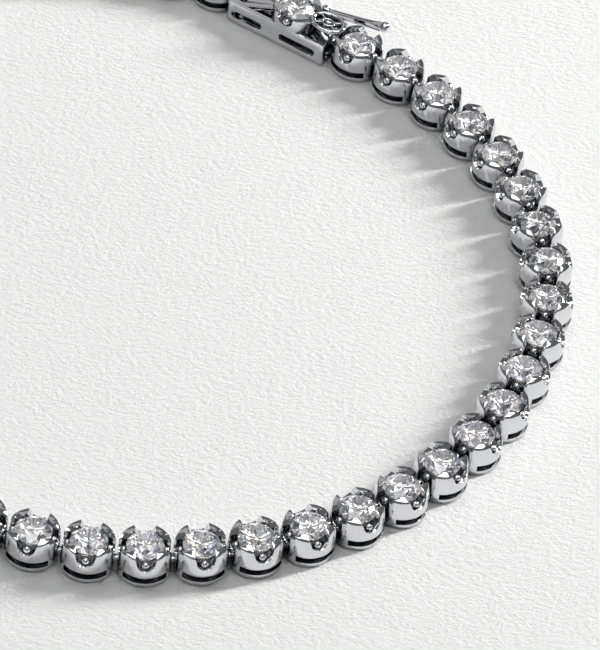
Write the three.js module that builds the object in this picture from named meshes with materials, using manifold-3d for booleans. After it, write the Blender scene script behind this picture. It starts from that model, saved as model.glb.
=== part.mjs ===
// Tennis bracelet: 46 four-prong cup settings hinged into a loop, closed by a box clasp.
// Millimetres, +Z up. The loop lies flat, stones up, with the middle of its box at the origin.
import * as THREE from 'three';
import { mergeVertices } from 'three/addons/utils/BufferGeometryUtils.js';
import Module from 'manifold-3d';

const wasm = await Module();
wasm.setup();

// ---- driving dimensions ------------------------------------------------------------------

const REACH = 2;                      // cutters reach this far past the metal
const JOIN = 0.1;                     // overlap of pieces that are fused or cut through

const LINK_COUNT = 46;
const PITCH = 3.68;                   // from one stone's centre to the next, along the strand
const RUN_LENGTHS = [8, 8, 8, 8, 7, 7];

// Plan of the strand from the link at the clasp's tongue, clockwise to the link at its far end.
const STRAND_ROUTE = [
  { x: 13.1, y: 23.4 },
  { x: 19.3, y: 18.8 },
  { x: 25.6, y: 9.9 },
  { x: 27.8, y: -0.8 },
  { x: 23.7, y: -14.8 },
  { x: 13.4, y: -25.1 },
  { x: -0.6, y: -29.1 },
  { x: -14.6, y: -25.2 },
  { x: -24.6, y: -14.5 },
  { x: -28.4, y: -0.2 },
  { x: -25.9, y: 14.0 },
  { x: -17.9, y: 25.5 },
  { x: -8.4, y: 30.0 },
  { x: 2.4, y: 29.4 },
];

// Round brilliant
const STONE = { radius: 1.25, table: 0.7, crown: 0.4, pavilion: 1.07 };

// Cup setting: x along the strand, y across it, z up
const CUP = {
  outer: 1.82,                        // radius of the wall at the base, over its corners
  bore: 1.1,                          // radius of the hole under the stone
  top: 2.6,                           // height of the prong tips
  tipOuter: 1.6,                      // outer radius of the prong tips, because the wall leans in
  tipInner: 1.2,                      // inner radius of the prong tips
  seat: 1.36,                         // radius round the stone's girdle
  seatFoot: 1.75,                     // height where the seat meets the bore
};
const SIDES = 8;                      // the cup and the stone are eight-sided, with flats across x and y
const FLAT = CUP.outer * Math.cos(Math.PI / SIDES);
const GIRDLE_Z = 2.1;
const NOTCH = { top: 1.4, rim: 3.1, foot: 0.9, frontBottom: 1.5, sideBottom: 1.2 };
const WINDOW = { length: 2.8, bottom: 0.42, top: 0.92 };

// Hinge: a tongue on one side of a link, its eye round a pin in the next. Inside a run the links are
// joined by a plain bar of the tongue's section.
const HINGE = {
  z: 0.9,
  pinX: -1.38,                        // the pin, from the middle of its own link
  pinRadius: 0.15,
  eyeRadius: 0.32,
  tall: 0.44,                         // height and width of the tongue
  width: 0.4,
  slotWidth: 0.7,
  slotBottom: 0.5,
  slotTop: 1.5,
  clearance: 0.07,
};

// Box clasp, in the frame of the first link: +x towards the link, +y to the outside of the loop
const BOX = {
  start: -10.35,
  end: -1.95,
  half: 1.65,
  height: 1.7,
  side: 0.3,                          // wall thickness
  floor: 0.3,
  lid: 0.35,
  headX: -5.3,
  headLift: 0.55,                     // the clasp's stone sits higher than the others by this much
};
const SIDE_SLOTS = [{ from: 0.64, to: 3.1 }, { from: 4.72, to: 7.62 }];   // from the box's far end
const SIDE_SLOT = { bottom: 0.5, top: 1.1 };
const LID_WINDOW = { far: -8.6, near: -6.2, tipX: -7.1, tipY: 0.25 };       // triangles, one each side
const PRESS_OPENING = { far: -4.7, tip: -3.7, rim: 0.3 };
const TONGUE = { inner: -9.1, half: 1.15, sheet: 0.22, low: 0.45, fold: 0.12, rise: 0.48, step: -4.6 };
const PRESS = { x: -2.75, y: 0.1, long: 2.6, wide: 1.9, top: 2.66, thick: 0.32, neck: 0.5, neckHalf: 0.35 };
const LATCH = {
  pivotX: -4.25,
  y: 2.05,                            // middle of the bar at the pivot
  z: 1.5,
  thick: 0.3,
  tall: 0.5,
  eye: 0.4,
  stud: 0.18,
  studHead: 0.32,
  bendX: -1.2,                        // the bar bends out here, towards the ball
  bendY: 2.5,
  ballX: 0.4,
  ballY: 2.85,
  ball: 0.37,
  flare: 0.3,
};

// ---- solids ------------------------------------------------------------------------------

function solid(geometry) {
  geometry.deleteAttribute('normal');
  geometry.deleteAttribute('uv');
  const merged = mergeVertices(geometry, 1e-5);
  const vertProperties = Float32Array.from(merged.attributes.position.array);
  const triVerts = Uint32Array.from(merged.index.array);
  return new wasm.Manifold(new wasm.Mesh({ numProp: 3, vertProperties, triVerts }));
}

function toGeometry(manifold) {
  const mesh = manifold.getMesh();
  const geometry = new THREE.BufferGeometry();
  geometry.setAttribute('position', new THREE.BufferAttribute(mesh.vertProperties, mesh.numProp));
  geometry.setIndex(new THREE.BufferAttribute(mesh.triVerts, 1));
  geometry.computeVertexNormals();
  return geometry;
}

function union(pieces) {
  return pieces.reduce((whole, piece) => whole.add(piece));
}

// Box between two corners
function block(x0, x1, y0, y1, z0, z1) {
  const geometry = new THREE.BoxGeometry(x1 - x0, y1 - y0, z1 - z0);
  geometry.translate((x0 + x1) / 2, (y0 + y1) / 2, (z0 + z1) / 2);
  return solid(geometry);
}

// Cylinder along y, between two values of y
function rod(x, z, radius, y0, y1, sides) {
  const geometry = new THREE.CylinderGeometry(radius, radius, y1 - y0, sides);
  geometry.translate(x, (y0 + y1) / 2, z);
  return solid(geometry);
}

// Solid of revolution about z from [radius, z] pairs that close on themselves or start and end on the axis
function turned(profile, sides) {
  const points = profile.map(([radius, z]) => new THREE.Vector2(radius, z));
  const geometry = new THREE.LatheGeometry(points, sides, Math.PI / sides);
  geometry.rotateX(Math.PI / 2);
  return solid(geometry);
}

// Plate cut to an outline of [x, y] pairs, between two heights
function plate(outline, z0, z1) {
  const shape = new THREE.Shape(outline.map(([x, y]) => new THREE.Vector2(x, y)));
  const geometry = new THREE.ExtrudeGeometry(shape, { depth: z1 - z0, bevelEnabled: false });
  geometry.translate(0, 0, z0);
  return solid(geometry);
}

// ---- stone -------------------------------------------------------------------------------

function stoneGeometry() {
  const { radius, table, crown, pavilion } = STONE;
  const brilliant = turned([
    [0, GIRDLE_Z - pavilion],
    [radius, GIRDLE_Z],
    [table, GIRDLE_Z + crown],
    [0, GIRDLE_Z + crown],
  ], SIDES);
  return toGeometry(brilliant);
}

// ---- cup setting -------------------------------------------------------------------------

// Cutter for a notch along x, narrower at its foot
function notchCutter(bottom) {
  const { top, rim, foot } = NOTCH;
  const outline = [[-top / 2, rim], [-foot / 2, bottom], [foot / 2, bottom], [top / 2, rim]];
  return plate(outline, -REACH, REACH).rotate([90, 0, 0]).rotate([0, 0, 90]);
}

// The cup: wall, seat, four prongs and the notches between them
function cup() {
  const wall = turned([
    [CUP.bore, 0],
    [CUP.outer, 0],
    [CUP.tipOuter, CUP.top],
    [CUP.tipInner, CUP.top],
    [CUP.seat, GIRDLE_Z],
    [CUP.bore, CUP.seatFoot],
    [CUP.bore, 0],
  ], SIDES);
  const side = notchCutter(NOTCH.sideBottom);
  const front = notchCutter(NOTCH.frontBottom).rotate([0, 0, 90]);
  return wall.subtract(front).subtract(side);
}

// Bar along x of the hinge tongue's section
function hingeBar(x0, x1) {
  const { width, tall, z } = HINGE;
  return block(x0, x1, -width / 2, width / 2, z - tall / 2, z + tall / 2);
}

// Bar with an eye at pinX, from the wall at x
function hingeEye(x, pinX) {
  const { width, z, eyeRadius, pinRadius, clearance } = HINGE;
  const eye = rod(pinX, z, eyeRadius, -width / 2, width / 2, 8);
  const hole = rod(pinX, z, pinRadius + clearance, -REACH, REACH, 8);
  return hingeBar(Math.min(x, pinX), Math.max(x, pinX)).add(eye).subtract(hole);
}

function hingePin(x, halfLength) {
  return rod(x, HINGE.z, HINGE.pinRadius, -halfLength, halfLength, 6);
}

// A link, with the slot and pin that take the tongue before it, or without where a bar joins it
function linkBody(slotted) {
  const { length, bottom, top } = WINDOW;
  const plain = cup().subtract(block(-length / 2, length / 2, -REACH, REACH, bottom, top));
  if (!slotted) return plain;
  const half = HINGE.slotWidth / 2;
  const slot = block(-REACH, -CUP.bore + 2 * JOIN, -half, half, HINGE.slotBottom, HINGE.slotTop);
  return plain.subtract(slot).add(hingePin(HINGE.pinX, half + HINGE.pinRadius));
}

// ---- clasp -------------------------------------------------------------------------------

function claspBox(farPinX) {
  const { start, end, half, height, side, floor, lid, headX, headLift } = BOX;
  const inside = half - side;
  const lidFoot = height - lid;
  const above = height + REACH;
  const shell = block(start, end, -half, half, 0, height);
  const cavity = block(start + side, end + REACH, -inside, inside, floor, lidFoot);
  const sideSlots = SIDE_SLOTS.map(({ from, to }) => (
    block(start + from, start + to, -REACH, REACH, SIDE_SLOT.bottom, SIDE_SLOT.top)
  ));
  const lidWindows = [1, -1].map((hand) => plate([
    [LID_WINDOW.far, inside * hand],
    [LID_WINDOW.near, inside * hand],
    [LID_WINDOW.tipX, LID_WINDOW.tipY * hand],
  ], lidFoot - JOIN, above));
  const mouth = end - PRESS_OPENING.rim;
  const pressOpening = plate([
    [PRESS_OPENING.far, -inside],
    [mouth, -inside],
    [mouth, inside],
    [PRESS_OPENING.far, inside],
    [PRESS_OPENING.tip, 0],
  ], lidFoot - JOIN, above);
  const neckNotch = block(mouth - JOIN, end + REACH, -PRESS.neck, PRESS.neck, lidFoot - JOIN, above);
  const slotHalf = HINGE.slotWidth / 2;
  const hingeSlot = block(start - REACH, start + side + JOIN, -slotHalf, slotHalf, HINGE.slotBottom, lidFoot);
  const headBore = turned([
    [0, lidFoot - JOIN],
    [CUP.bore, lidFoot - JOIN],
    [CUP.bore, above],
    [0, above],
  ], SIDES).translate([headX, 0, 0]);
  const box = shell.subtract(union([
    cavity, ...sideSlots, ...lidWindows, pressOpening, neckNotch, hingeSlot, headBore,
  ]));

  // The raised head keeps the upper part of a cup
  const belowHead = block(-REACH, REACH, -REACH, REACH, -REACH, height - headLift - lid / 2);
  const head = cup().subtract(belowHead).translate([headX, 0, headLift]);
  const pin = hingePin(farPinX, half - side / 2);

  // Stud on the outer wall that the safety latch turns on
  const studEnd = LATCH.y + LATCH.thick / 2 + HINGE.clearance;
  const stud = rod(LATCH.pivotX, LATCH.z, LATCH.stud, half - side / 2, studEnd + JOIN, 8);
  const studHead = rod(LATCH.pivotX, LATCH.z, LATCH.studHead, studEnd, studEnd + HINGE.pinRadius, 8);
  return union([box, head, pin, stud, studHead]);
}

// The folded spring tongue inside the box, the thumb press over it and the eye for the first link's pin
function claspTongue() {
  const { inner, half, sheet, low, fold, rise, step } = TONGUE;
  const { x, y, long, wide, top, thick, neck, neckHalf } = PRESS;
  const upperFoot = low + sheet;
  const upperTop = low + rise;
  const lower = block(inner, BOX.end + JOIN, -half, half, low, low + sheet);
  const bend = block(inner, inner + sheet, -half, half, low, upperFoot + fold);
  const upper = plate([
    [inner, upperFoot],
    [inner + sheet, upperFoot],
    [step, upperTop],
    [step, upperTop + sheet],
    [inner, upperFoot + sheet],
  ], -half, half).rotate([90, 0, 0]);
  const strip = block(step - 2 * JOIN, x + neck, -HINGE.width, HINGE.width, upperTop, upperTop + sheet);
  const post = block(x - neckHalf, x + neckHalf, -neckHalf, neckHalf, upperTop, top - JOIN);
  const oval = turned([[0, 0], [1, 0], [1, thick * 0.6], [0.8, thick], [0, thick]], 2 * SIDES)
    .scale([long / 2, wide / 2, 1])
    .translate([x, y, top - thick]);
  const riserHalf = HINGE.width / 2;
  const riserTop = HINGE.z + HINGE.tall / 2;
  const riser = block(BOX.end - 2 * JOIN, BOX.end + JOIN, -riserHalf, riserHalf, low, riserTop);
  return union([lower, bend, upper, strip, post, oval, riser, hingeEye(BOX.end, HINGE.pinX)]);
}

function safetyLatch() {
  const { pivotX, y, z, thick, tall, eye, stud, bendX, bendY, ballX, ballY, ball, flare } = LATCH;
  const ring = rod(pivotX, z, eye, y - thick / 2, y + thick / 2, 10);
  const hole = rod(pivotX, z, stud + HINGE.clearance, 0, ballY, 8);
  const bar = plate([
    [pivotX, y - thick / 2],
    [bendX, bendY - thick / 2],
    [ballX, ballY - flare],
    [ballX, ballY + flare],
    [bendX, bendY + thick / 2],
    [pivotX, y + thick / 2],
  ], z - tall / 2, z + tall / 2);
  const geometry = new THREE.SphereGeometry(ball, 10, 6);
  geometry.rotateX(Math.PI / 2);
  geometry.translate(ballX, ballY, z);
  return union([ring, bar, solid(geometry)]).subtract(hole);
}

// ---- assembly ----------------------------------------------------------------------------

const COLOURS = { metal: 0xc9cacd, stone: 0xf3f5fa };

function addMesh(parent, name, geometry, kind) {
  const stone = kind === 'stone';
  const material = new THREE.MeshStandardMaterial({
    color: COLOURS[kind],
    roughness: stone ? 0.02 : 0.12,
    metalness: stone ? 0 : 1,
  });
  const mesh = new THREE.Mesh(geometry, material);
  mesh.name = name;
  parent.add(mesh);
  return mesh;
}

// Places of the links' centres, equally spaced along the route. The closed curve's last stretch is the
// clasp's, and it is left out.
function linkSpots() {
  const points = STRAND_ROUTE.map(({ x, y }) => new THREE.Vector3(x, y, 0));
  const route = new THREE.CatmullRomCurve3(points, true, 'centripetal');
  const steps = 200;
  route.arcLengthDivisions = steps * points.length;
  const lengths = route.getLengths();
  const whole = lengths[steps * points.length];
  const strand = lengths[steps * (points.length - 1)];
  const scale = PITCH * (LINK_COUNT - 1) / strand;
  const spots = [];
  for (let i = 0; i < LINK_COUNT; i += 1) {
    const share = i / (LINK_COUNT - 1) * strand / whole;
    spots.push(route.getPointAt(share).multiplyScalar(scale));
  }
  return spots;
}

function headingDegrees(from, to) {
  return THREE.MathUtils.radToDeg(Math.atan2(to.y - from.y, to.x - from.x));
}

const bracelet = new THREE.Group();
const spots = linkSpots();
const claspHeading = headingDegrees(spots[LINK_COUNT - 1], spots[0]);
const span = spots[LINK_COUNT - 1].distanceTo(spots[0]);

// A link faces along the line between its two neighbours, across the clasp too
const headings = spots.map((spot, i) => {
  const before = spots[(i + LINK_COUNT - 1) % LINK_COUNT];
  const after = spots[(i + 1) % LINK_COUNT];
  const turn = after.clone().sub(spot).normalize().add(spot.clone().sub(before).normalize());
  return THREE.MathUtils.radToDeg(Math.atan2(turn.y, turn.x));
});

function along(spot, heading, distance) {
  const angle = THREE.MathUtils.degToRad(heading);
  return new THREE.Vector3(Math.cos(angle), Math.sin(angle), 0).multiplyScalar(distance).add(spot);
}

function pinSpot(i) {
  return along(spots[i], headings[i], HINGE.pinX);
}

// The pin in the clasp's far end, which holds the last link's tongue
const boxPinX = -span + PITCH + HINGE.pinX;
const boxPin = along(spots[0], claspHeading, boxPinX);

const plainLink = linkBody(false);
const slottedLink = linkBody(true);
const joiningBar = hingeBar(FLAT - 0.3, PITCH - FLAT + 0.3);
const freeTongue = hingeEye(FLAT - 0.3, PITCH + HINGE.pinX);
let first = 0;
RUN_LENGTHS.forEach((count, run) => {
  const pieces = [];
  for (let i = first; i < first + count; i += 1) {
    const cupBody = i === first ? slottedLink : plainLink;
    const tongue = i === first + count - 1 ? freeTongue : joiningBar;
    const nextPin = i === LINK_COUNT - 1 ? boxPin : pinSpot(i + 1);
    const link = cupBody.rotate([0, 0, headings[i]])
      .add(tongue.rotate([0, 0, headingDegrees(spots[i], nextPin)]));
    pieces.push(link.translate([spots[i].x, spots[i].y, 0]));
  }
  addMesh(bracelet, `link_run_${run + 1}`, toGeometry(union(pieces)), 'metal');
  first += count;
});

const brilliant = stoneGeometry();
spots.forEach((spot, i) => {
  const number = String(i + 1).padStart(2, '0');
  const mesh = addMesh(bracelet, `stone_${number}`, brilliant, 'stone');
  mesh.position.copy(spot);
  mesh.rotation.z = THREE.MathUtils.degToRad(headings[i]);
});

const clasp = new THREE.Group();
clasp.position.copy(spots[0]);
clasp.rotation.z = THREE.MathUtils.degToRad(claspHeading);
bracelet.add(clasp);
addMesh(clasp, 'clasp_box', toGeometry(claspBox(boxPinX)), 'metal');
addMesh(clasp, 'clasp_tongue', toGeometry(claspTongue()), 'metal');
addMesh(clasp, 'safety_latch', toGeometry(safetyLatch()), 'metal');
const claspStone = addMesh(clasp, 'clasp_stone', brilliant, 'stone');
claspStone.position.set(BOX.headX, 0, BOX.headLift);

// The origin is the middle of the underside of the whole bracelet's box
bracelet.updateMatrixWorld(true);
const bounds = new THREE.Box3().setFromObject(bracelet, true);
const middle = bounds.getCenter(new THREE.Vector3());
bracelet.position.set(-middle.x, -middle.y, -bounds.min.z);
bracelet.updateMatrixWorld(true);

export default bracelet;
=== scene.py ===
"""Looks of the tennis bracelet: polished white gold cup settings, round brilliants and a box clasp.

Meshes are made in millimetres, and joined() turns them to metres.
"""
import math

import bmesh
import bpy
from mathutils import Matrix, Vector


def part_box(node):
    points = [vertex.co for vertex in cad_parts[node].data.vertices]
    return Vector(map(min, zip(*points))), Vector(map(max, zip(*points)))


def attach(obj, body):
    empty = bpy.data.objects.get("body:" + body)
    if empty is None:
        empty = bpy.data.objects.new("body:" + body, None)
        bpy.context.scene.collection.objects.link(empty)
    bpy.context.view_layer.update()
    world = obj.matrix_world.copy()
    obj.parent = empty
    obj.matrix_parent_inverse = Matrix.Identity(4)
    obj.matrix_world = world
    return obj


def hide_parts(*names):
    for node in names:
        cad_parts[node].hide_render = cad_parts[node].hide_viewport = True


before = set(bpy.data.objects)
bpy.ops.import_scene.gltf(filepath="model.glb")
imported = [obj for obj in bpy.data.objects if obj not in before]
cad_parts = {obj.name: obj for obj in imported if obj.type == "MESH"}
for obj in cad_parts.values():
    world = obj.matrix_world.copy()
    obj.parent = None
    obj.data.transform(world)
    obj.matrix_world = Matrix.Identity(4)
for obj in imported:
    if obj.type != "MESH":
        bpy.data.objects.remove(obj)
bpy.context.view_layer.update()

MM = 0.001
PITCH = 3.68                        # from one stone's centre to the next
RUN_LENGTHS = [8, 8, 8, 8, 7, 7]    # links in each run, from the clasp's tongue round to its far end
LINKS = sum(RUN_LENGTHS)
STONE_TURN = math.radians(137.5)    # from one stone to the next, so that no two neighbours sparkle alike
PAST = 4.0                          # where a cutter ends, well past the metal


# ---- places, from the frame --------------------------------------------------------------

def node_middle(node):
    low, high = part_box(node)
    return (low + high) / 2


spots = [node_middle(f"stone_{k:02d}").xy.to_3d() / MM for k in range(1, LINKS + 1)]
clasp_gap = spots[0] - spots[-1]


def turned_to(direction, spot):
    """Matrix that puts a piece made at the origin, facing +x, at a spot of the strand."""
    return Matrix.Translation(spot) @ Matrix.Rotation(math.atan2(direction.y, direction.x), 4, "Z")


def link_place(k):
    """Matrix of link k, which faces midway between the ways to its two neighbours."""
    after = (spots[(k + 1) % LINKS] - spots[k]).normalized()
    before = (spots[k] - spots[k - 1]).normalized()
    return turned_to(after + before, spots[k])


CLASP_PLACE = turned_to(clasp_gap, spots[0])


# ---- camera ------------------------------------------------------------------------------

CAMERA = {"azimuth": 0.97, "elevation": 44.06, "roll": 7.0, "distance": 368.6, "aim": (10.99, -4.89)}
SENSOR = 36
FOCAL_SHARE = 5400 / 650            # focal length over the image's long side


def make_camera():
    azimuth = math.radians(CAMERA["azimuth"])
    elevation = math.radians(CAMERA["elevation"])
    roll = math.radians(CAMERA["roll"])
    forward = Vector((math.sin(azimuth) * math.cos(elevation), math.cos(azimuth) * math.cos(elevation),
                      -math.sin(elevation)))
    level = Vector((math.cos(azimuth), -math.sin(azimuth), 0))
    above = level.cross(forward)
    right = level * math.cos(roll) + above * math.sin(roll)
    up = above * math.cos(roll) - level * math.sin(roll)
    data = bpy.data.cameras.new("camera")
    data.sensor_width = SENSOR
    data.lens = SENSOR * FOCAL_SHARE
    data.clip_start = 0.01
    camera = bpy.data.objects.new("camera", data)
    bpy.context.scene.collection.objects.link(camera)
    place = (Vector((*CAMERA["aim"], 0)) - forward * CAMERA["distance"]) * MM
    turn = Matrix((right, up, -forward)).transposed().to_4x4()
    camera.matrix_world = Matrix.Translation(place) @ turn
    bpy.context.scene.camera = camera


# ---- materials ---------------------------------------------------------------------------

def linear(code):
    """Linear colour of an sRGB hex value."""
    parts = [int(code[k:k + 2], 16) / 255 for k in (1, 3, 5)]
    return tuple(v / 12.92 if v <= 0.04045 else ((v + 0.055) / 1.055) ** 2.4 for v in parts) + (1.0,)


def new_material(name):
    material = bpy.data.materials.new(name)
    material.use_nodes = True
    material.node_tree.nodes.clear()
    return material


def add(material, kind, links=(), stops=(), **settings):
    """Add a node. Links are (socket, node, output), stops are a colour ramp's (position, colour) pairs, and
    settings name the node's properties or its sockets."""
    node = material.node_tree.nodes.new(kind)
    for key, value in settings.items():
        socket = None if hasattr(node, key) else node.inputs.get(key.replace("_", " "))
        if socket is None:
            setattr(node, key, value)
        else:
            socket.default_value = value
    for position, code in stops:
        node.color_ramp.elements.new(position).color = linear(code)
    if stops:
        node.color_ramp.elements.remove(node.color_ramp.elements[-1])
        node.color_ramp.elements.remove(node.color_ramp.elements[0])
    for socket, source, output in links:
        material.node_tree.links.new(source.outputs[output], node.inputs[socket])
    return node


def polished_white_gold():
    """White gold, cast, polished on a wheel and rhodium plated. It gives a bright, neutral mirror with a
    faint uneven haze. Ambient occlusion darkens its base colour: painted shade in hollows, creases and
    between parts. Haze and ripple are drawn coarser than real polishing marks, so that they show."""
    material = new_material("polished_rhodium_plated_white_gold")
    place = add(material, "ShaderNodeTexCoord")
    haze = add(material, "ShaderNodeTexNoise", [("Vector", place, "Object")],
               Scale=1 / (0.35 * MM), Detail=3.0)
    spread = add(material, "ShaderNodeMapRange", [("Value", haze, "Fac")], To_Min=0.02, To_Max=0.09)
    ripple = add(material, "ShaderNodeTexNoise", [("Vector", place, "Object")],
                 Scale=1 / (0.6 * MM), Detail=2.0)
    bump = add(material, "ShaderNodeBump", [("Height", ripple, "Fac")], Strength=0.05, Distance=0.02 * MM)
    # Painted shade: ambient occlusion darkens the base colour from #E0E0E2 to #585A5C in hollows, creases and
    # between parts.
    painted_shade_occlusion = add(material, "ShaderNodeAmbientOcclusion", samples=6, Distance=1.1 * MM)
    painted_shade_color = add(material, "ShaderNodeValToRGB", [("Fac", painted_shade_occlusion, "AO")],
               [(0.12, "#585A5C"), (0.62, "#E0E0E2")])
    shader = add(material, "ShaderNodeBsdfPrincipled",
                 [("Base Color", painted_shade_color, "Color"), ("Roughness", spread, "Result"), ("Normal", bump, "Normal")],
                 Metallic=1.0)
    add(material, "ShaderNodeOutputMaterial", [("Surface", shader, "BSDF")])
    return material


def polished_diamond():
    """Diamond, cut and polished to flat facets. It is clear and bends light strongly, and its facets show
    hard-edged, in painted reflections: by the way that a facet faces, its base colour is painted grey,
    white, pale blue or warm, and a faint glow on a few is painted light that stands for their glints."""
    material = new_material("polished_diamond")
    facing = add(material, "ShaderNodeNewGeometry")
    # Painted light mask: noise over the way each facet faces picks its painted colour and glow.
    painted_light_noise = add(material, "ShaderNodeTexNoise", [("Vector", facing, "True Normal")],
                Scale=9.0, Detail=0.0)
    # Painted reflection: grey, white, pale blue and warm base colours stand for the light each facet gives
    # back.
    painted_reflection_color = add(material, "ShaderNodeValToRGB", [("Fac", painted_light_noise, "Fac")],
               [(0.38, "#74767E"), (0.42, "#DCE6FF"), (0.48, "#FFFFFF"), (0.66, "#FFEBD2")])
    # Painted light: a faint glow on a few facets stands for glints; the stone is no lamp.
    painted_flash_glow = add(material, "ShaderNodeValToRGB", [("Fac", painted_light_noise, "Fac")],
                [(0.53, "#000000"), (0.57, "#F4F6FF")])
    shader = add(material, "ShaderNodeBsdfPrincipled",
                 [("Base Color", painted_reflection_color, "Color"), ("Emission Color", painted_flash_glow, "Color")],
                 Roughness=0.0, IOR=2.417, Emission_Strength=0.15, Transmission_Weight=1.0)
    add(material, "ShaderNodeOutputMaterial", [("Surface", shader, "BSDF")])
    return material


def felt_marked_paper():
    """Heavy white paper, pressed on a felt while wet. It is matt, with short shallow ridges about a third of
    a millimetre apart that a low light picks out."""
    material = new_material("white_felt_marked_paper")
    place = add(material, "ShaderNodeTexCoord")
    along = add(material, "ShaderNodeMapping", [("Vector", place, "Object")],
                Scale=(0.7, 1.0, 1.0), Rotation=(0, 0, math.radians(18)))
    felt = add(material, "ShaderNodeTexNoise", [("Vector", along, "Vector")],
               Scale=1 / (0.34 * MM), Detail=6.0, Roughness=0.72)
    bump = add(material, "ShaderNodeBump", [("Height", felt, "Fac")], Strength=1.0, Distance=0.32 * MM)
    shader = add(material, "ShaderNodeBsdfPrincipled", [("Normal", bump, "Normal")],
                 Base_Color=linear("#F4F4F3"), Roughness=0.9)
    add(material, "ShaderNodeOutputMaterial", [("Surface", shader, "BSDF")])
    return material


# ---- outlines ----------------------------------------------------------------------------

def arc(cx, cz, radius, start, end, steps):
    """Points of an arc, angles in degrees."""
    points = []
    for k in range(steps + 1):
        angle = math.radians(start + (end - start) * k / steps)
        points.append((cx + radius * math.cos(angle), cz + radius * math.sin(angle)))
    return points


def circle(cx, cz, radius, sides=24):
    return arc(cx, cz, radius, 0, 360 - 360 / sides, sides - 1)


def rounded(points, *radii, steps=5):
    """Outline with its corners rounded, by one radius or by one for each corner."""
    outline = []
    radii = radii if len(radii) > 1 else radii * len(points)
    for k, here in enumerate(points):
        corner = Vector(here)
        before = (Vector(points[k - 1]) - corner).normalized()
        after = (Vector(points[(k + 1) % len(points)]) - corner).normalized()
        start, end = corner + before * radii[k], corner + after * radii[k]
        for j in range(steps + 1):
            t = j / steps
            outline.append(tuple(start * (1 - t) ** 2 + corner * 2 * t * (1 - t) + end * t ** 2))
    return outline


def strip(stations):
    """Outline of a long strip from its (place, near edge, far edge) stations."""
    near = [(x, low) for x, low, high in stations]
    far = [(x, high) for x, low, high in reversed(stations)]
    return near + far


# ---- mesh tools: these add to a bmesh ----------------------------------------------------

def revolve(work, profile, steps):
    """Closed solid of revolution about z from a closed loop of (radius, z) pairs off the axis."""
    rings = []
    for k in range(steps):
        angle = 2 * math.pi * k / steps
        rings.append([work.verts.new((r * math.cos(angle), r * math.sin(angle), z)) for r, z in profile])
    count = len(profile)
    for k in range(steps):
        here, after = rings[k], rings[(k + 1) % steps]
        for j in range(count):
            work.faces.new((here[j], after[j], after[(j + 1) % count], here[(j + 1) % count]))


def ring(work, height, major, minor, steps=64, sides=16):
    """Round wire ring about z."""
    section = [(major + a, height + b) for a, b in circle(0, 0, minor, sides)]
    revolve(work, section, steps)


def prism(work, outline, low, high, axis="z"):
    """Closed prism over an outline of pairs, between two values along an axis."""
    def point(a, b, c):
        return {"z": (a, b, c), "y": (a, c, b), "x": (c, a, b)}[axis]

    bottom = [work.verts.new(point(a, b, low)) for a, b in outline]
    top = [work.verts.new(point(a, b, high)) for a, b in outline]
    work.faces.new(bottom)
    work.faces.new(top)
    count = len(outline)
    for k in range(count):
        work.faces.new((bottom[k], bottom[(k + 1) % count], top[(k + 1) % count], top[k]))


def rounded_box(work, low, high, bevel):
    verts = bmesh.ops.create_cube(work, size=1)["verts"]
    middle = (Vector(low) + Vector(high)) / 2
    size = Vector(high) - Vector(low)
    for vert in verts:
        vert.co = Vector([vert.co[k] * size[k] + middle[k] for k in range(3)])
    edges = list({edge for vert in verts for edge in vert.link_edges})
    bmesh.ops.bevel(work, geom=edges, offset=bevel, segments=2, affect="EDGES", profile=0.5)


def ball(work, centre, radius, steps=24):
    bmesh.ops.create_uvsphere(work, u_segments=steps, v_segments=steps // 2, radius=radius,
                              matrix=Matrix.Translation(centre))


# ---- mesh tools: these return a mesh -----------------------------------------------------

def mesh_from(build, name):
    """Mesh filled by build(bmesh)."""
    work = bmesh.new()
    build(work)
    bmesh.ops.recalc_face_normals(work, faces=work.faces)
    mesh = bpy.data.meshes.new(name)
    work.to_mesh(mesh)
    work.free()
    return mesh


def prism_mesh(outline, low, high, axis):
    return mesh_from(lambda work: prism(work, outline, low, high, axis), "prism")


def box_mesh(low, high):
    outline = [(low[0], low[1]), (high[0], low[1]), (high[0], high[1]), (low[0], high[1])]
    return prism_mesh(outline, low[2], high[2], "z")


def cut(mesh, cutters, name, bevel):
    """Mesh less its cutters, with its edges rounded."""
    body = bpy.data.objects.new(name, mesh)
    bpy.context.scene.collection.objects.link(body)
    helpers = []
    for cutter in cutters:
        helper = bpy.data.objects.new(name + "_cut", cutter)
        bpy.context.scene.collection.objects.link(helper)
        helpers.append(helper)
        modifier = body.modifiers.new("cut", "BOOLEAN")
        modifier.operation = "DIFFERENCE"
        modifier.solver = "EXACT"
        modifier.object = helper
    modifier = body.modifiers.new("edge", "BEVEL")
    modifier.width = bevel
    modifier.segments = 2
    modifier.limit_method = "ANGLE"
    modifier.angle_limit = math.radians(35)
    depsgraph = bpy.context.evaluated_depsgraph_get()
    result = bpy.data.meshes.new_from_object(body.evaluated_get(depsgraph))
    for helper in helpers + [body]:
        bpy.data.objects.remove(helper)
    return result


def joined(name, parts):
    """One mesh from (mesh, matrix) pairs, turned to metres."""
    work = bmesh.new()
    for mesh, place in parts:
        copy = mesh.copy()
        copy.transform(place)
        work.from_mesh(copy)
        bpy.data.meshes.remove(copy)
    bmesh.ops.scale(work, vec=(MM, MM, MM), verts=work.verts)
    result = bpy.data.meshes.new(name)
    work.to_mesh(result)
    work.free()
    return result


# ---- pieces ------------------------------------------------------------------------------

def piece(name, mesh, material, body, node):
    obj = bpy.data.objects.new(name, mesh)
    bpy.context.scene.collection.objects.link(obj)
    mesh.materials.clear()
    mesh.materials.append(material)
    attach(obj, body)
    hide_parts(node)
    return obj


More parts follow.
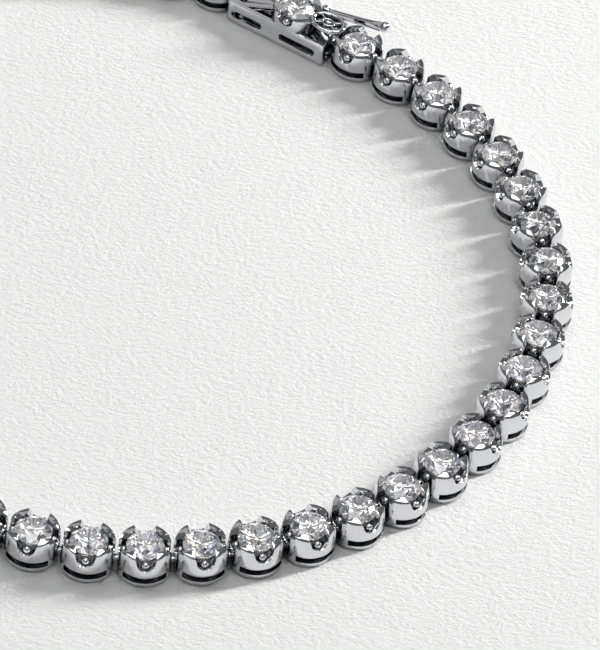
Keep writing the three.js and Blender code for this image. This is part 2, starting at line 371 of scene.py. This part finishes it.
def metal_piece(name, parts, metal, body, node):
    """Piece of white gold from (mesh, matrix) pairs, smooth up to its edges."""
    mesh = joined(name, parts)
    mesh.polygons.foreach_set("use_smooth", [True] * len(mesh.polygons))
    mesh.set_sharp_from_angle(angle=math.radians(30))
    piece(name, mesh, metal, body, node)


def set_stone(name, mesh, diamond, place, turn, node):
    obj = piece(name, mesh, diamond, "bracelet", node)
    turned = place.to_3x3().to_4x4() @ Matrix.Rotation(turn, 4, "Z")
    obj.matrix_world = Matrix.Translation(place.translation * MM) @ turned


# ---- cup setting: +x towards the next link ----------------------------------------------

CUP_WALL = [              # (radius, height): outside from the foot to the prong tip, then down the inside
    (1.34, 0.0), (1.72, 0.0), (1.80, 0.06), (1.84, 0.25), (1.86, 0.60), (1.86, 1.10), (1.84, 1.60),
    (1.80, 2.00), (1.72, 2.34), (1.66, 2.42), (1.20, 2.52), (1.15, 2.47), (1.17, 2.38),
    (1.27, 2.22), (1.28, 2.04), (1.14, 1.88), (1.24, 1.62), (1.36, 1.20), (1.38, 0.40),
]
FLAT = {"half": 1.72, "out_at_foot": 0.03, "in_at_top": 0.06, "foot": -1.0, "top": PAST}   # end faces
NOTCHES = {               # axis it runs along: foot height, half width, half width at the prong tips
    "y": {"foot": 1.50, "half": 0.62, "tip_half": 0.70},
    "x": {"foot": 1.30, "half": 0.58, "tip_half": 0.80},
}
NOTCH_FLARE = {"start": 2.10, "end": 2.32}
WINDOW = {"half": 1.42, "low": 0.44, "high": 0.94}
HINGE = {"reach": 1.38, "height": 0.9, "eye": 0.32, "pin": 0.15, "half": 0.19, "pin_half": 0.75}
HINGE_MOUTH = {"half": 0.35, "low": 0.5, "high": 1.3, "back": -1.0}
HINGE_TONGUE = {"start": 1.25, "end": 2.25, "low": 0.66, "high": 1.12}
RAIL = {"height": 1.93, "radius": 1.17, "thick": 0.06}
BEAD = {"out": 1.38, "height": 1.68, "radius": 0.26}
SLEEVE = [(0.96, 0.08), (1.08, 0.08), (1.08, 1.35), (0.96, 1.35)]   # (radius, height)


def notch_outline(foot, half, tip_half):
    """U from its round foot up, opening out towards the prong tips."""
    right = [(half, NOTCH_FLARE["start"]), (tip_half, NOTCH_FLARE["end"]), (tip_half, PAST)]
    left = [(-x, z) for x, z in reversed(right)]
    return arc(0, foot + half, half, 180, 360, 18) + right + left


def notches():
    return [prism_mesh(notch_outline(**sizes), -PAST, PAST, axis) for axis, sizes in NOTCHES.items()]


def setting_mesh():
    wall = mesh_from(lambda work: revolve(work, CUP_WALL, 96), "cup")
    cutters = notches()
    cutters.append(box_mesh((-WINDOW["half"], -PAST, WINDOW["low"]), (WINDOW["half"], PAST, WINDOW["high"])))
    mouth = HINGE_MOUTH["half"]
    cutters.append(box_mesh((-PAST, -mouth, HINGE_MOUTH["low"]),
                            (HINGE_MOUTH["back"], mouth, HINGE_MOUTH["high"])))
    at_foot = FLAT["half"] + FLAT["out_at_foot"]
    at_top = FLAT["half"] - FLAT["in_at_top"]
    for hand in (1, -1):
        outline = [(hand * at_foot, FLAT["foot"]), (hand * PAST, FLAT["foot"]), (hand * PAST, FLAT["top"]),
                   (hand * at_top, FLAT["top"])]
        cutters.append(prism_mesh(outline, -PAST, PAST, "y"))
    return cut(wall, cutters, "setting", bevel=0.055)


def rail_and_beads(work):
    """Bearing rail under the girdle, and a round bead in each notch."""
    ring(work, RAIL["height"], RAIL["radius"], RAIL["thick"])
    for k in range(4):
        place = Matrix.Rotation(k * math.pi / 2, 3, "Z") @ Vector((0, -BEAD["out"], BEAD["height"]))
        ball(work, place, BEAD["radius"])


def hinge_eye(work, x):
    prism(work, circle(x, HINGE["height"], HINGE["eye"]), -HINGE["half"], HINGE["half"], "y")


def hinge_pin(work, x, half):
    prism(work, circle(x, HINGE["height"], HINGE["pin"]), -half, half, "y")


def basket(work):
    """What shows inside a cup, and the tongue, eye and pin that join it to its neighbours."""
    rail_and_beads(work)
    revolve(work, SLEEVE, 48)
    rounded_box(work, (HINGE_TONGUE["start"], -HINGE["half"], HINGE_TONGUE["low"]),
                (HINGE_TONGUE["end"], HINGE["half"], HINGE_TONGUE["high"]), bevel=0.06)
    hinge_eye(work, PITCH - HINGE["reach"])
    hinge_pin(work, -HINGE["reach"], HINGE["pin_half"])


# ---- round brilliant ---------------------------------------------------------------------

GIRDLE_Z = 2.10           # over the foot of the cup
BRILLIANT = {"radius": 1.25, "table": 0.70, "crown": 0.40, "girdle": 0.045, "pavilion": 1.07}
STAR_OUT = 0.03           # how far the star facets reach past halfway
LOWER_HALVES = 0.24       # radius where the lower halves end, over the stone's


def brilliant(work):
    """Stone of 57 facets and a girdle, in eight equal sectors."""
    radius, table, crown, girdle, pavilion = BRILLIANT.values()
    half_sector = math.cos(math.radians(22.5))

    def vert(r, angle, z):
        angle = math.radians(angle)
        return work.verts.new((r * math.cos(angle), r * math.sin(angle), GIRDLE_Z + z))

    star_radius = (table * half_sector + radius) / 2 + STAR_OUT
    star_z = girdle + (radius - star_radius * half_sector) * crown / (radius - table)
    low_radius = radius * LOWER_HALVES
    low_z = -(radius - low_radius * half_sector) * pavilion / radius
    tables = [vert(table, 45 * k, girdle + crown) for k in range(8)]
    stars = [vert(star_radius, 45 * k + 22.5, star_z) for k in range(8)]
    upper = [vert(radius, 11.25 * k, girdle) for k in range(32)]
    lower = [vert(radius, 11.25 * k, 0) for k in range(32)]
    halves = [vert(low_radius, 45 * k + 22.5, low_z) for k in range(8)]
    culet = vert(0, 0, -pavilion)
    work.faces.new(tables)
    for k in range(32):
        after = (k + 1) % 32
        work.faces.new((lower[k], lower[after], upper[after], upper[k]))
    for k in range(8):
        after = (k + 1) % 8
        before = (k + 7) % 8
        main, middle, end = 4 * k, 4 * k + 2, (4 * k + 4) % 32    # girdle points of this sector
        work.faces.new((tables[k], stars[k], tables[after]))
        work.faces.new((tables[k], stars[before], upper[main], stars[k]))
        work.faces.new((stars[k], upper[main], upper[main + 1], upper[middle]))
        work.faces.new((stars[k], upper[middle], upper[middle + 1], upper[end]))
        work.faces.new((culet, halves[before], lower[main], halves[k]))
        work.faces.new((halves[k], lower[main], lower[main + 1], lower[middle]))
        work.faces.new((halves[k], lower[middle], lower[middle + 1], lower[end]))


# ---- clasp, in its own frame: +x towards the first link, +y to the outside of the loop --------

CASE = {"start": -10.35, "end": -1.95, "half": 1.65, "height": 1.82, "wall": 0.28, "floor": 0.3, "lid": 0.3}
CASE_CORNERS = {"far": 0.6, "mouth": 0.08}
SIDE_SLOTS = {"along": [(-9.8, -7.2), (-5.7, -2.65)], "low": 0.5, "high": 1.12, "corner": 0.3}
LID_WINDOW = {"base": (-8.75, -6.15), "tip": (-6.75, 0.2)}
LID_HOLE = {"x": -9.3, "y": 0.85, "radius": 0.3}
PRESS_OPENING = {"start": -4.55, "point": (-3.75, 0.7), "rim": 0.22, "neck_half": 0.5}
LID_CORNER = 0.12         # of the windows and the opening
LID_CUT = 0.2             # how far the lid's cutters reach below it
HEAD = {"x": -5.3, "lift": 0.55, "sunk": 0.12, "hole": 1.2}
TONGUE = {"fold": -9.1, "low": 0.45, "high": 0.67, "end": -1.85, "half": 1.15, "leaf_half": 1.0}
TONGUE_RAIL = {"start": -4.3, "end": -2.3, "low": 0.6, "high": 1.3, "half": 0.1}
RISER = {"start": -2.15, "end": -1.8, "half": 0.2}
NECK = {"start": -2.0, "low": 0.68, "high": 1.12}
LEAF = [                  # (x, z): its underside from the fold to the neck, then back along its top
    (-9.1, 0.45), (-8.88, 0.45), (-4.5, 1.0), (-3.6, 1.16), (-3.0, 0.93), (-2.2, 0.93),
    (-2.2, 1.1), (-3.0, 1.12), (-3.6, 1.36), (-4.5, 1.2), (-9.1, 0.95),
]
PRESS = {"x": -2.75, "y": 0.1, "z": 2.55, "stretch": 1.38}
PRESS_RIM = {"height": 0.0, "radius": 0.88, "wire": 0.15}
PRESS_MIDDLE = {"height": 0.02, "radius": 0.34, "wire": 0.07}
PRESS_DOME = {"height": -0.02, "radius": 0.2}
PRESS_PLATE = {"radius": 0.85, "low": -0.28, "high": -0.18}
PRESS_POST = {"half": 0.35, "low": -1.5, "high": -0.2}
SPOKE = {"angle": 38, "out": 0.62, "half_length": 0.29, "half_width": 0.07, "low": -0.1, "high": 0.08}
BAR = {"x": -4.25, "y": 2.05, "z": 1.5, "half": 0.25, "rise": 0.10}
BAR_EYE = {"radius": 0.40, "half": 0.15, "hole": 0.23}
BAR_EDGES = [             # (x, inner edge, outer edge), from the stud to the ball
    (-4.25, 1.90, 2.20), (-2.8, 2.12, 2.42), (-1.2, 2.34, 2.66), (-0.4, 2.45, 2.85), (0.4, 2.55, 3.15),
]
GROOVE_EDGES = [(-3.6, 2.16, 2.24), (-1.2, 2.47, 2.55), (-0.6, 2.60, 2.70)]
GROOVE_FLOOR = 0.18       # over the bar's middle
BAR_BALL = {"x": 0.4, "y": 2.85, "radius": 0.42}
CASE_PIN_HALF = 1.5
FAR_POCKET = 0.4          # how far the last link's pocket reaches into the case
STUD = {"radius": 0.18, "start": 1.5, "end": 2.3, "head": 0.32, "head_start": 2.27, "head_end": 2.42}


def lid_cutters():
    """Windows, holes, head and thumb press opening of the pierced lid."""
    inside = CASE["half"] - CASE["wall"]
    lowest = CASE["height"] - CASE["lid"] - LID_CUT
    tip_x, tip_y = LID_WINDOW["tip"]
    outlines = []
    for hand in (1, -1):
        window = [(x, inside * hand) for x in LID_WINDOW["base"]] + [(tip_x, tip_y * hand)]
        outlines.append(rounded(window, LID_CORNER))
        outlines.append(circle(LID_HOLE["x"], LID_HOLE["y"] * hand, LID_HOLE["radius"], 18))
    start, mouth = PRESS_OPENING["start"], CASE["end"] - PRESS_OPENING["rim"]
    point_x, point_y = PRESS_OPENING["point"]
    opening = [(start, -inside), (mouth, -inside), (mouth, inside), (start, inside), (point_x, point_y),
               (point_x, -point_y)]
    outlines.append(rounded(opening, LID_CORNER))
    outlines.append(circle(HEAD["x"], 0, HEAD["hole"], 45))
    neck = PRESS_OPENING["neck_half"]
    cutters = [prism_mesh(outline, lowest, PAST, "z") for outline in outlines]
    return cutters + [box_mesh((CASE["end"] - 1, -neck, lowest), (PAST, neck, PAST))]


def case_mesh():
    start, end, half = CASE["start"], CASE["end"], CASE["half"]
    inside = half - CASE["wall"]
    lid = CASE["height"] - CASE["lid"]
    far, mouth = CASE_CORNERS["far"], CASE_CORNERS["mouth"]
    plan = rounded([(start, -half), (end, -half), (end, half), (start, half)], far, mouth, mouth, far)
    cutters = [box_mesh((start + CASE["wall"], -inside, CASE["floor"]), (PAST, inside, lid))]
    for left, right in SIDE_SLOTS["along"]:
        slot = [(left, SIDE_SLOTS["low"]), (right, SIDE_SLOTS["low"]), (right, SIDE_SLOTS["high"]),
                (left, SIDE_SLOTS["high"])]
        cutters.append(prism_mesh(rounded(slot, SIDE_SLOTS["corner"]), -PAST, PAST, "y"))
    cutters += lid_cutters()
    cutters.append(box_mesh((start - PAST, -HINGE_MOUTH["half"], HINGE_MOUTH["low"]),
                            (start + FAR_POCKET, HINGE_MOUTH["half"], lid)))
    return cut(prism_mesh(plan, 0, CASE["height"], "z"), cutters, "case", bevel=0.045)


def head_mesh():
    """Upper part of a cup, flush with the case's sides."""
    half = CASE["half"] + 0.01
    wall = mesh_from(lambda work: revolve(work, CUP_WALL, 96), "head")
    foot = CASE["height"] - HEAD["lift"] - HEAD["sunk"]
    cutters = notches() + [box_mesh((-PAST, -PAST, -PAST), (PAST, PAST, foot))]
    for hand in (1, -1):
        near, far = sorted((half * hand, PAST * hand))
        cutters.append(box_mesh((-PAST, near, -PAST), (PAST, far, PAST)))
    return cut(wall, cutters, "head", bevel=0.045)


def fittings(work):
    """Pin at the case's far end, and the stud that the safety bar turns on."""
    hinge_pin(work, PITCH - HINGE["reach"] - clasp_gap.length, CASE_PIN_HALF)
    prism(work, circle(BAR["x"], BAR["z"], STUD["radius"]), STUD["start"], STUD["end"], "y")
    prism(work, circle(BAR["x"], BAR["z"], STUD["head"]), STUD["head_start"], STUD["head_end"], "y")


def spring_tongue(work):
    """Folded spring strip with its side rails, riser and eye."""
    half = HINGE["half"]
    rounded_box(work, (TONGUE["fold"], -TONGUE["half"], TONGUE["low"]),
                (TONGUE["end"], TONGUE["half"], TONGUE["high"]), bevel=0.05)
    prism(work, LEAF, -TONGUE["leaf_half"], TONGUE["leaf_half"], "y")
    for rail_y in (TONGUE["leaf_half"], -TONGUE["leaf_half"]):
        rounded_box(work, (TONGUE_RAIL["start"], rail_y - TONGUE_RAIL["half"], TONGUE_RAIL["low"]),
                    (TONGUE_RAIL["end"], rail_y + TONGUE_RAIL["half"], TONGUE_RAIL["high"]), bevel=0.06)
    rounded_box(work, (RISER["start"], -RISER["half"], TONGUE["low"]),
                (RISER["end"], RISER["half"], NECK["high"]), bevel=0.05)
    rounded_box(work, (NECK["start"], -half, NECK["low"]), (-HINGE["reach"], half, NECK["high"]), bevel=0.05)
    hinge_eye(work, -HINGE["reach"])


def press_spoke(work, angle):
    """Short bar of the thumb press, between its middle ring and its rim."""
    before = set(work.verts)
    rounded_box(work, (-SPOKE["half_length"], -SPOKE["half_width"], SPOKE["low"]),
                (SPOKE["half_length"], SPOKE["half_width"], SPOKE["high"]), bevel=0.03)
    turn = Matrix.Rotation(math.radians(angle), 4, "Z") @ Matrix.Translation((SPOKE["out"], 0, 0))
    bmesh.ops.transform(work, matrix=turn, verts=[v for v in work.verts if v not in before])


def thumb_press(work):
    """Oval openwork: a rim, four spokes and a middle ring with a dome, over a thin plate on a post."""
    ring(work, *PRESS_RIM.values(), steps=96)
    ring(work, *PRESS_MIDDLE.values())
    ball(work, (0, 0, PRESS_DOME["height"]), PRESS_DOME["radius"])
    for angle in (-SPOKE["angle"], SPOKE["angle"], 180 - SPOKE["angle"], 180 + SPOKE["angle"]):
        press_spoke(work, angle)
    prism(work, circle(0, 0, PRESS_PLATE["radius"], 45), PRESS_PLATE["low"], PRESS_PLATE["high"], "z")
    bmesh.ops.scale(work, vec=(PRESS["stretch"], 1, 1), verts=work.verts)
    half = PRESS_POST["half"]
    rounded_box(work, (-half, -half, PRESS_POST["low"]), (half, half, PRESS_POST["high"]), bevel=0.04)


def safety_bar_meshes():
    """Grooved bar that widens to its ball, with the eye that goes over the stud."""
    x, y, z, half = BAR["x"], BAR["y"], BAR["z"], BAR["half"]
    bar = prism_mesh(strip(BAR_EDGES), z - half, z + half, "z")
    eye = prism_mesh(circle(x, z, BAR_EYE["radius"], 36), y - BAR_EYE["half"], y + BAR_EYE["half"], "y")
    hole = prism_mesh(circle(x, z, BAR_EYE["hole"]), 0, PAST, "y")
    groove = prism_mesh(strip(GROOVE_EDGES), z + GROOVE_FLOOR, PAST, "z")
    centre = (BAR_BALL["x"], BAR_BALL["y"], z)
    end = mesh_from(lambda work: ball(work, centre, BAR_BALL["radius"], steps=32), "ball")
    return [cut(bar, [hole, groove], "bar", bevel=0.05), cut(eye, [hole], "eye", bevel=0.04), end]


def make_clasp(metal, diamond, stone):
    raised = CLASP_PLACE @ Matrix.Translation((HEAD["x"], 0, HEAD["lift"]))
    set_stone("brilliant_clasp", stone, diamond, raised, 0, "clasp_stone")
    metal_piece("clasp_case", [(case_mesh(), CLASP_PLACE), (mesh_from(fittings, "fittings"), CLASP_PLACE),
                               (head_mesh(), raised), (mesh_from(rail_and_beads, "rail"), raised)],
                metal, "bracelet", "clasp_box")
    metal_piece("spring_tongue", [(mesh_from(spring_tongue, "tongue"), CLASP_PLACE)],
                metal, "bracelet", "clasp_tongue")
    place = CLASP_PLACE @ Matrix.Translation((PRESS["x"], PRESS["y"], PRESS["z"]))
    metal_piece("thumb_press", [(mesh_from(thumb_press, "press"), place)], metal, "bracelet", "clasp_tongue")
    rise = Matrix()                         # the bar climbs a little towards its ball
    rise[2][0] = BAR["rise"]
    rise[2][3] = -BAR["rise"] * BAR["x"]
    metal_piece("safety_bar", [(mesh, CLASP_PLACE @ rise) for mesh in safety_bar_meshes()],
                metal, "safety_latch", "safety_latch")


# ---- strand ------------------------------------------------------------------------------

def make_strand(metal, diamond, stone):
    cup = setting_mesh()
    inside = mesh_from(basket, "basket")
    first = 0
    for number, count in enumerate(RUN_LENGTHS, 1):
        places = [link_place(k) for k in range(first, first + count)]
        parts = [(mesh, place) for place in places for mesh in (cup, inside)]
        metal_piece(f"settings_{number}", parts, metal, "bracelet", f"link_run_{number}")
        first += count
    for k in range(LINKS):
        number = f"{k + 1:02d}"
        set_stone(f"brilliant_{number}", stone, diamond, link_place(k), k * STONE_TURN, f"stone_{number}")


# ---- stage -------------------------------------------------------------------------------

OVERHEADS = {"front": (-110, 52), "right": (-30, 68), "left": (170, 70), "rear": (75, 72)}   # azimuth, height
FLOOR_HALF = 0.6
FLOOR_DROP = 0.00002      # under the bracelet's foot, so that the two don't share a plane


def make_floor():
    work = bmesh.new()
    bmesh.ops.create_grid(work, x_segments=2, y_segments=2, size=FLOOR_HALF)
    mesh = bpy.data.meshes.new("floor")
    work.to_mesh(mesh)
    work.free()
    mesh.materials.append(felt_marked_paper())
    floor = bpy.data.objects.new("floor", mesh)
    bpy.context.scene.collection.objects.link(floor)
    floor.location.z = -FLOOR_DROP


def toward(azimuth, elevation):
    """Direction from the middle of the scene, in degrees; azimuth 0 is the camera's right, 90 is behind."""
    flat = math.cos(math.radians(elevation))
    return Vector((flat * math.cos(math.radians(azimuth)), flat * math.sin(math.radians(azimuth)),
                   math.sin(math.radians(elevation))))


def area_light(name, direction, distance, size, power):
    """Rectangular light that faces the middle of the scene, in metres and watts."""
    data = bpy.data.lights.new(name, "AREA")
    data.shape = "RECTANGLE"
    data.size, data.size_y = size
    data.energy = power
    light = bpy.data.objects.new(name, data)
    bpy.context.scene.collection.objects.link(light)
    light.location = direction * distance
    light.rotation_euler = direction.to_track_quat("Z", "Y").to_euler()


def make_lights():
    """A narrow low key that draws long shadows, four soft overheads, a back light and a dim white room."""
    area_light("key", toward(27, 28), distance=0.6, size=(0.05, 0.24), power=4.95)
    for side, angles in OVERHEADS.items():
        area_light(f"overhead_{side}", toward(*angles), distance=0.45, size=(0.18, 0.18), power=0.25)
    area_light("back", toward(95, 42), distance=0.8, size=(0.5, 0.4), power=0.20)
    room = bpy.data.worlds.new("studio")
    room.use_nodes = True
    background = room.node_tree.nodes["Background"]
    background.inputs["Color"].default_value = linear("#E8E9EC")
    background.inputs["Strength"].default_value = 0.16
    bpy.context.scene.world = room
    bpy.context.scene.view_settings.view_transform = "Standard"


make_camera()
make_floor()
make_lights()
gold = polished_white_gold()
diamond = polished_diamond()
stone = joined("brilliant", [(mesh_from(brilliant, "cut_stone"), Matrix())])
make_strand(gold, diamond, stone)
make_clasp(gold, diamond, stone)
